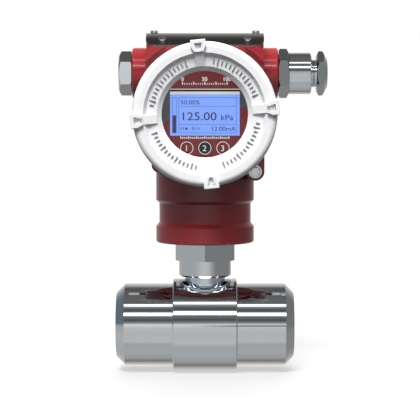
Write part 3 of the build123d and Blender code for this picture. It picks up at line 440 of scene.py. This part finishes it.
def lettering(
    name, text, cap_height, left, base, y_front, kind, body, widening=1.0, weight=0.0
):
    """Printed characters on a plane that faces the front; weight thickens their strokes."""
    half_depth = 0.5
    curve = bpy.data.curves.new(name + "_curve", "FONT")
    curve.body = text
    curve.extrude = half_depth
    curve.offset = weight
    source = bpy.data.objects.new(name + "_source", curve)
    scene.collection.objects.link(source)
    bpy.context.view_layer.update()
    evaluated = source.evaluated_get(bpy.context.evaluated_depsgraph_get())
    mesh = bpy.data.meshes.new_from_object(evaluated)
    bpy.data.objects.remove(source)
    grow = cap_height / capital_share
    for vertex in mesh.vertices:
        x, z, depth = vertex.co
        y = y_front + (half_depth - depth) * print_thickness
        vertex.co = (left + x * grow * widening, y, base + z * grow)
    mesh.name = name
    add_piece(name, mesh, kind, body)


# Front cover: raised tick bars on the band round the window, in the arcs between the lugs; their grey
# is painted shade in place of the shading that cast marks show on white paint
lug_turn = radians(5.5)
lug_proud = 2.2 * MM
band_depth = 2.95 * MM
band_radius = 35.9 * MM
tick_length = 4.4 * MM
tick_width = 0.9 * MM
tick_height = 0.7 * MM
tick_step = radians(4.6)
ticks_per_arc = 14
long_tick_every = 4
short_tick_share = 0.62
tick_top_width_share = 0.7
tick_top_length_share = 0.958


def tick_bar(angle, length):
    """One raised bar on the recessed band, pointing at the axis, with sloping sides."""
    band_y = cover_front_y + lug_proud + band_depth
    out = Vector((cos(angle), 0, sin(angle)))
    along = Vector((-sin(angle), 0, cos(angle)))
    centre = Vector((axis_x, 0, axis_z)) + out * band_radius
    points = []
    for y, length_share, width_share in (
        (band_y, 1.0, 1.0),
        (band_y - tick_height, tick_top_length_share, tick_top_width_share),
    ):
        for u, v in ((-1, -1), (1, -1), (1, 1), (-1, 1)):
            reach = out * (u * length / 2 * length_share)
            side = along * (v * tick_width / 2 * width_share)
            p = centre + reach + side
            points.append((p.x, y, p.z))
    faces = [(0, 1, 2, 3), (7, 6, 5, 4)]
    for i in range(4):
        j = (i + 1) % 4
        faces.append((i, j, 4 + j, 4 + i))
    return points, faces


def make_cover_ticks():
    """Groups of tick bars in the four arcs between the lugs."""
    shapes = []
    for quarter in range(4):
        middle_angle = lug_turn + pi / 4 + quarter * pi / 2
        for i in range(ticks_per_arc):
            angle = middle_angle + (i - (ticks_per_arc - 1) / 2) * tick_step
            share = 1.0 if i % long_tick_every == 0 else short_tick_share
            shapes.append(tick_bar(angle, tick_length * share))
    mesh_piece("cover_tick_bars", joined(shapes), "tick_painted_shade", "front_cover")


# Where the LCD's glass shows in the face
screen_half_width = 23.5 * MM
screen_half_height = 14.85 * MM
screen_rise = 0.4 * MM
lcd_left, lcd_right = axis_x - screen_half_width, axis_x + screen_half_width
lcd_bottom = axis_z + screen_rise - screen_half_height
lcd_top = axis_z + screen_rise + screen_half_height

# Print on the face, behind the glass; angles are in degrees round the window's axis
print_y = face_y - print_thickness
panel_r = 31.0 * MM
panel_gap = 0.3 * MM
panel_top_rise = 0.2 * MM
panel_top_angle = degrees(atan2(lcd_top - axis_z + panel_top_rise, lcd_right + panel_gap - axis_x))
right_panel_foot_angle = 8.0
left_panel_foot_angle = 193.0
left_panel_foot_drop = 3.4 * MM
rule_z = lcd_top + 1.35 * MM
rule_height = 0.45 * MM
rule_overhang = 0.3 * MM
dark_rule_gap = 0.25 * MM
scale_z = rule_z + 3.2 * MM
scale_numbers = (("0", -15.0 * MM), ("50", 0.0), ("100", 15.0 * MM))
number_height = 2.7 * MM
number_rise = 2.6 * MM
number_weight = 0.02
digit_width = 2.0 * MM
row_z = lcd_bottom - 2.1 * MM


def arc_points(radius, start, end, count=24):
    """Points on a circle round the window's axis, angles in degrees."""
    points = []
    for i in range(count + 1):
        angle = radians(start + (end - start) * i / count)
        points.append((axis_x + radius * cos(angle), axis_z + radius * sin(angle)))
    return points


def face_bar(x0, x1, z0, z1):
    """A printed bar on the face."""
    return printed(rectangle(x0, x1, z0, z1), print_y)


def mark_row(count, step, base, long_every, heights, half_widths):
    """A row of printed marks centred on the axis: a long one, then short ones up to the next."""
    shapes = []
    for i in range(count):
        kind = 0 if i % long_every == 0 else 1
        x = axis_x + (i - (count - 1) / 2) * step
        half = half_widths[kind]
        shapes.append(face_bar(x - half, x + half, base, base + heights[kind]))
    return joined(shapes)


def make_side_panels():
    """Dark panels left and right of the LCD, round on the outside."""
    top_z = axis_z + panel_r * sin(radians(panel_top_angle))
    right_x, left_x = lcd_right + panel_gap, lcd_left - panel_gap
    right_foot_z = axis_z + panel_r * sin(radians(right_panel_foot_angle))
    right = arc_points(panel_r, right_panel_foot_angle, panel_top_angle)
    right += [(right_x, top_z), (right_x, right_foot_z)]
    left = arc_points(panel_r, 180 - panel_top_angle, left_panel_foot_angle)
    left += [(left_x, axis_z - left_panel_foot_drop), (left_x, top_z)]
    panels = joined([printed(right, print_y), printed(left, print_y)])
    mesh_piece("face_side_panels", panels, "panel", "root")


def make_face_print():
    """Side panels, rules above the LCD, numbered scale and the row of marks below it."""
    make_side_panels()
    left, right = lcd_left - rule_overhang, lcd_right + rule_overhang
    rule = face_bar(left, right, rule_z, rule_z + rule_height)
    mesh_piece("face_rule", rule, "print", "root")
    dark_rule = face_bar(left, right, lcd_top + dark_rule_gap, rule_z)
    mesh_piece("face_dark_rule", dark_rule, "lcd_edge", "root")
    scale = mark_row(
        count=21, step=1.5 * MM, base=scale_z, long_every=5,
        heights=(2.0 * MM, 1.2 * MM), half_widths=(0.32 * MM, 0.22 * MM),
    )
    mesh_piece("face_scale", scale, "print", "root")
    for text, offset in scale_numbers:
        number_left = axis_x + offset - len(text) * digit_width / 2
        lettering(
            f"face_number_{text}", text, number_height, number_left, scale_z + number_rise,
            print_y, "print", "root", weight=number_weight,
        )
    row = mark_row(
        count=25, step=1.35 * MM, base=row_z, long_every=4,
        heights=(1.7 * MM, 1.2 * MM), half_widths=(0.34 * MM, 0.34 * MM),
    )
    mesh_piece("face_tick_row", row, "print", "root")


# Print on the keys
key_ring_r = 4.4 * MM
key_ring_width = 0.42 * MM
key_number_height = 4.1 * MM
key_number_left = 1.62 * MM


def make_keys():
    """Printed ring and number on each key."""
    for name, number in (("key_left", "1"), ("key_middle", "2"), ("key_right", "3")):
        y = corners(name)[0].y - print_thickness
        centre = middle(name)
        ring = printed_ring(centre.x, centre.z, key_ring_r, key_ring_r - key_ring_width, y)
        mesh_piece(f"{name}_ring", ring, "print", name)
        lettering(
            f"{name}_number", number, key_number_height, centre.x - key_number_left,
            centre.z - key_number_height / 2, y, "print", name,
        )


# Picture on the LCD: places in millimetres right of and below the screen's upper left corner
screen_y = lcd_y - print_thickness
marks_y = lcd_y - 2 * print_thickness
strip_height = 1.9
frame_left, frame_right = 5.8, 45.1
frame_top, frame_bottom = 3.9, 28.0
row_lines = (9.8, 22.0)
bar_left, bar_right = 1.5, 4.4
bar_level = 16.0
line_width = 0.28
text_weight = 0.006

# Each text's name, characters, height of a capital, left end, base line and widening
lcd_texts = (
    ("lcd_percent", "50.00%", 2.9, 6.9, 8.6, 1.16),
    ("lcd_value", "125.00", 5.6, 6.8, 19.3, 1.19),
    ("lcd_unit", "kPa", 3.9, 34.0, 19.3, 1.15),
    ("lcd_current", "12.00mA", 2.9, 27.4, 26.4, 1.16),
    ("lcd_alarm_one", "P1", 1.9, 6.9, 25.9, 1.1),
    ("lcd_alarm_two", "P2", 1.9, 14.5, 25.9, 1.1),
)

# Each round mark's place, outer and inner radius: the first is filled, the second open
round_marks = ((11.0, 0.85, 0.02), (19.0, 0.85, 0.55))
round_mark_drop = 25.0
round_mark_sides = 24


def lcd_rectangle(x0, x1, y0, y1, y_front=marks_y):
    """A thin flat bar on the screen."""
    outline = rectangle(
        lcd_left + x0 * MM, lcd_left + x1 * MM, lcd_top - y1 * MM, lcd_top - y0 * MM
    )
    return printed(outline, y_front)


def lcd_frame(x0, x1, y0, y1):
    """Four thin bars round a rectangle on the screen."""
    w = line_width
    return [
        lcd_rectangle(x0, x1, y0, y0 + w),
        lcd_rectangle(x0, x1, y1 - w, y1),
        lcd_rectangle(x0, x0 + w, y0 + w, y1 - w),
        lcd_rectangle(x1 - w, x1, y0 + w, y1 - w),
    ]


def lcd_piece(name, shape, kind):
    """A piece of the screen's picture."""
    mesh_piece(name, shape, kind, "root")


def make_lcd():
    """Backlit screen with a bar graph, a frame of three rows and generic readings."""
    width = 2 * screen_half_width / MM
    height = 2 * screen_half_height / MM
    lcd_piece("lcd_screen", lcd_rectangle(0, width, strip_height, height, screen_y), "lcd_blue")
    lcd_piece("lcd_strip", lcd_rectangle(0, width, 0, strip_height, screen_y), "lcd_cream")
    lines = lcd_frame(frame_left, frame_right, frame_top, frame_bottom)
    lines += lcd_frame(bar_left, bar_right, frame_top, frame_bottom)
    inner_left, inner_right = frame_left + line_width, frame_right - line_width
    for row in row_lines:
        lines.append(lcd_rectangle(inner_left, inner_right, row, row + line_width))
    lcd_piece("lcd_frame_lines", joined(lines), "lcd_line")
    bar = lcd_rectangle(
        bar_left + line_width, bar_right - line_width, bar_level, frame_bottom - line_width
    )
    lcd_piece("lcd_bar", bar, "lcd_dark")
    for name, text, cap_height, left, base, widening in lcd_texts:
        lettering(
            name, text, cap_height * MM, lcd_left + left * MM, lcd_top - base * MM,
            marks_y, "lcd_dark", "root", widening, text_weight,
        )
    marks_z = lcd_top - round_mark_drop * MM
    dots = []
    for place, outer, inner in round_marks:
        mark_x = lcd_left + place * MM
        dots.append(
            printed_ring(mark_x, marks_z, outer * MM, inner * MM, marks_y, round_mark_sides)
        )
    lcd_piece("lcd_dots", joined(dots), "lcd_dark")


# Thread on the exposed part of the gland nut's neck
thread_pitch = 1.0 * MM
thread_height = 0.45 * MM
thread_sink = 0.1 * MM
thread_gap = 0.15 * MM
thread_length = 3.2 * MM
thread_steps_per_turn = 48
neck_r = 9.5 * MM

# Section of the thread, as shares of its pitch
crest_start, crest_end, foot_end = 0.4, 0.5, 0.9


def make_gland_thread():
    """A helical ridge on the neck between the gland body and the nut's hexagon."""
    travel = thread_length - thread_pitch
    turns = travel / thread_pitch
    steps = int(turns * thread_steps_per_turn)
    foot_r, crest_r = neck_r - thread_sink, neck_r + thread_height
    section = ((0.0, foot_r), (crest_start, crest_r), (crest_end, crest_r), (foot_end, foot_r))
    points, faces = [], []
    for i in range(steps + 1):
        angle = 2 * pi * turns * i / steps
        x = gland_end_x + thread_gap + travel * i / steps
        for share, radius in section:
            y = nut_centre.y + radius * cos(angle)
            z = nut_centre.z + radius * sin(angle)
            points.append((x + share * thread_pitch, y, z))
    for i in range(steps):
        for k in range(4):
            m = (k + 1) % 4
            faces.append((4 * i + k, 4 * (i + 1) + k, 4 * (i + 1) + m, 4 * i + m))
    faces += [(0, 1, 2, 3), tuple(4 * steps + k for k in (3, 2, 1, 0))]
    thread = (points, faces)
    mesh_piece("gland_nut_thread", thread, "fitting", "gland_nut", smooth=True)


# Floor: its own glow sets how pale it is, its shade how deep the tee's shadow is
floor_glow = 0.53
floor_shade = 0.22
floor_reach = 40.0
floor_noise_scale = 2.0
floor_darkest, floor_lightest = 0.99, 1.01


def make_floor():
    """A wide pale floor under the tee, with a soft shadow and no visible edge."""
    mesh = bpy.data.meshes.new("floor")
    outline = rectangle(-floor_reach, floor_reach, -floor_reach, floor_reach)
    mesh.from_pydata([(x, y, floor_z) for x, y in outline], [], [(0, 1, 2, 3)])
    floor = bpy.data.objects.new("floor", mesh)
    scene.collection.objects.link(floor)
    material, tree, shader = new_material("pale_floor")
    noise = object_noise(tree, floor_noise_scale)
    shade = varied(tree, noise, (floor_shade,) * 3, floor_darkest, floor_lightest)
    tree.links.new(shade, shader.inputs["Base Color"])
    shader.inputs["Roughness"].default_value = 1.0
    shader.inputs["Specular IOR Level"].default_value = 0.0
    shader.inputs["Emission Color"].default_value = (1, 1, 1, 1)
    shader.inputs["Emission Strength"].default_value = floor_glow
    mesh.materials.append(material)
    floor.visible_glossy = False
    floor.visible_diffuse = False


def soft_sun(name, azimuth, elevation, spread_angle, level):
    """A very wide distant light; azimuth 0 is the camera's side and positive is its right."""
    data = bpy.data.lights.new(name, "SUN")
    data.angle = radians(spread_angle)
    data.energy = pi * level
    light = bpy.data.objects.new(name, data)
    scene.collection.objects.link(light)
    side, up = radians(azimuth), radians(elevation)
    towards = Vector((sin(side) * cos(up), -cos(side) * cos(up), sin(up)))
    light.rotation_euler = towards.to_track_quat("Z", "Y").to_euler()
    light.visible_glossy = False


def make_lights():
    """Two large soft lights high in front and one high behind."""
    soft_sun("key_light", azimuth=-14.0, elevation=57.0, spread_angle=22.0, level=1.24)
    soft_sun("fill_light", azimuth=28.0, elevation=52.0, spread_angle=40.0, level=0.13)
    soft_sun("top_light", azimuth=180.0, elevation=58.0, spread_angle=50.0, level=1.0)


# Surroundings that the polished metal mirrors, as brightness against the angle round the X axis:
# -90 is straight down, 0 the front horizon, 90 is overhead and 180 the back horizon
sky_stops = (
    # Under the back horizon
    (-180.0, 0.60), (-150.0, 0.60), (-133.0, 0.45), (-126.0, 0.24),
    # Below the object and on to the front
    (-112.0, 0.28), (-108.0, 0.37), (-92.0, 0.41), (-80.0, 0.45),
    (-52.0, 0.43), (-44.0, 0.56), (-20.0, 0.53), (-4.0, 0.58),
    # Bright front horizon
    (0.0, 0.67), (3.0, 0.76), (5.5, 0.72), (8.5, 0.38), (11.0, 0.22), (14.0, 0.16),
    # Dark band over it
    (16.5, 0.085), (19.0, 0.085), (21.5, 0.15), (27.0, 0.155),
    # Lower strip light
    (29.0, 0.30), (30.5, 0.9), (32.0, 7.0), (36.0, 7.0), (38.0, 0.9), (40.0, 0.30),
    # Dark card between the strip lights
    (42.5, 0.08), (46.0, 0.085), (52.0, 0.17), (54.5, 0.25),
    # Upper strip light
    (58.5, 0.70), (60.0, 4.0), (62.0, 4.0), (63.5, 0.60),
    # Dark ceiling
    (67.0, 0.13), (76.0, 0.14), (100.0, 0.12), (127.0, 0.10),
    # Paler wall at the back
    (133.0, 0.20), (140.0, 0.33), (150.0, 0.60), (180.0, 0.80),
)

# What dims the front horizon on the right: where it starts and ends in degrees, and how much it leaves
front_dim_low, front_dim_high = -1.0, 3.0
front_dim_blend = 1.0
front_dim = 0.30

# Tint behind the object, and how far back it starts and is full
warm_wall = (1.0, 0.94, 0.88)
warm_start, warm_full = 0.3, 0.6

# Seen sideways the bands give way to plain flanks; this is where, and the blend from left to right
aside_start, aside_full = 0.10, 0.85
side_blend = 0.02


def grey(*levels):
    """Grey ramp stops from (position, level) pairs."""
    return tuple((position, (level, level, level)) for position, level in levels)


# The flanks, and the dome that lights matt surfaces: 0 is straight down, 0.5 the horizon
# and 1 overhead
cool_card = (0.13, 0.17, 0.20)
left_flank_stops = (
    *grey((0.0, 0.38), (0.35, 0.50)),
    (0.47, (0.40, 0.41, 0.42)), (0.505, cool_card), (0.75, cool_card),
    *grey((1.0, 0.08)),
)
right_flank_stops = grey(
    (0.0, 0.30), (0.40, 0.26), (0.47, 0.21), (0.505, 0.20), (0.75, 0.17), (1.0, 0.08)
)
dome_stops = grey((0.0, 0.05), (0.50, 0.05), (0.60, 0.24), (0.75, 0.62), (1.0, 0.70))


def math_node(tree, operation, first, second=None):
    """One arithmetic step; numbers and sockets both work as inputs."""
    node = tree.nodes.new("ShaderNodeMath")
    node.operation = operation
    for i, value in enumerate((first, second)):
        if value is None:
            continue
        if isinstance(value, (int, float)):
            node.inputs[i].default_value = value
        else:
            tree.links.new(value, node.inputs[i])
    return node.outputs[0]


def smooth_step(tree, value, low, high):
    """0 below low, 1 above high and smooth between."""
    node = tree.nodes.new("ShaderNodeMapRange")
    node.interpolation_type = "SMOOTHSTEP"
    node.inputs["From Min"].default_value = low
    node.inputs["From Max"].default_value = high
    tree.links.new(value, node.inputs["Value"])
    return node.outputs["Result"]


def mix_colours(tree, factor, first, second):
    """Mixes two colours by a factor."""
    node = tree.nodes.new("ShaderNodeMix")
    node.data_type = "RGBA"
    tree.links.new(factor, node.inputs["Factor"])
    tree.links.new(first, node.inputs["A"])
    tree.links.new(second, node.inputs["B"])
    return node.outputs["Result"]


def ramp_brightness(tree, factor, stops):
    """A brightness ramp of any length, as a float curve scaled to the brightest stop."""
    top = max(value for position, value in stops)
    curve = tree.nodes.new("ShaderNodeFloatCurve")
    line = curve.mapping.curves[0]
    while len(line.points) < len(stops):
        line.points.new(0.5, 0.5)
    for point, (position, value) in zip(line.points, stops):
        point.location = (position, value / top)
        point.handle_type = "VECTOR"
    curve.mapping.update()
    tree.links.new(factor, curve.inputs["Value"])
    return math_node(tree, "MULTIPLY", curve.outputs["Value"], top)


def background(tree, colour):
    """A background shader whose colour comes from a socket."""
    node = tree.nodes.new("ShaderNodeBackground")
    tree.links.new(colour, node.inputs["Color"])
    return node.outputs["Background"]


def mirrored_bands(tree, split, right):
    """Bands of light and dark round the X axis, dimmed in front on the right and warm behind."""
    forward = math_node(tree, "MULTIPLY", split.outputs["Y"], -1.0)
    angle = math_node(tree, "ARCTAN2", split.outputs["Z"], forward)
    share = math_node(tree, "ADD", math_node(tree, "DIVIDE", angle, 2 * pi), 0.5)
    stops = [((place + 180.0) / 360.0, value) for place, value in sky_stops]
    bands = ramp_brightness(tree, share, stops)
    low = smooth_step(tree, angle, radians(front_dim_low), radians(front_dim_low + front_dim_blend))
    high = smooth_step(
        tree, angle, radians(front_dim_high), radians(front_dim_high + front_dim_blend)
    )
    dimmed = math_node(tree, "MULTIPLY", right, math_node(tree, "SUBTRACT", low, high))
    loss = math_node(tree, "MULTIPLY", dimmed, 1.0 - front_dim)
    gain = math_node(tree, "SUBTRACT", 1.0, loss)
    behind = smooth_step(tree, split.outputs["Y"], warm_start, warm_full)
    lit = math_node(tree, "MULTIPLY", bands, gain)
    level = tree.nodes.new("ShaderNodeCombineColor")
    for channel, share_left in zip(("Red", "Green", "Blue"), warm_wall):
        absorbed = math_node(tree, "MULTIPLY", behind, 1.0 - share_left)
        tint = math_node(tree, "SUBTRACT", 1.0, absorbed)
        tree.links.new(math_node(tree, "MULTIPLY", lit, tint), level.inputs[channel])
    return level.outputs["Color"]


def make_world():
    """Studio surroundings: white to the camera, soft boxes and dark cards to reflections."""
    world = bpy.data.worlds.new("studio")
    scene.world = world
    world.use_nodes = True
    tree = world.node_tree
    tree.nodes.clear()
    output = tree.nodes.new("ShaderNodeOutputWorld")
    place = tree.nodes.new("ShaderNodeTexCoord")
    split = tree.nodes.new("ShaderNodeSeparateXYZ")
    tree.links.new(place.outputs["Generated"], split.inputs[0])
    sideways = split.outputs["X"]
    height = math_node(tree, "ADD", math_node(tree, "MULTIPLY", split.outputs["Z"], 0.5), 0.5)
    right = smooth_step(tree, sideways, -side_blend, side_blend)
    left_flank = ramp(tree, height, left_flank_stops)
    right_flank = ramp(tree, height, right_flank_stops)
    flank = mix_colours(tree, right, left_flank, right_flank)
    aside = smooth_step(tree, math_node(tree, "ABSOLUTE", sideways), aside_start, aside_full)
    bands = mirrored_bands(tree, split, right)
    mirrored = background(tree, mix_colours(tree, aside, bands, flank))
    dome = background(tree, ramp(tree, height, dome_stops))
    plain = tree.nodes.new("ShaderNodeBackground")
    plain.inputs["Color"].default_value = (1, 1, 1, 1)
    rays = tree.nodes.new("ShaderNodeLightPath")
    soft = mix_shaders(tree, rays.outputs["Is Glossy Ray"], dome, mirrored)
    seen = mix_shaders(tree, rays.outputs["Is Camera Ray"], soft, plain.outputs["Background"])
    tree.links.new(seen, output.inputs["Surface"])


make_camera()
paint_nodes()
make_cover_ticks()
make_face_print()
make_keys()
make_lcd()
make_gland_thread()
make_floor()
make_lights()
make_world()
scene.view_settings.view_transform = "Standard"
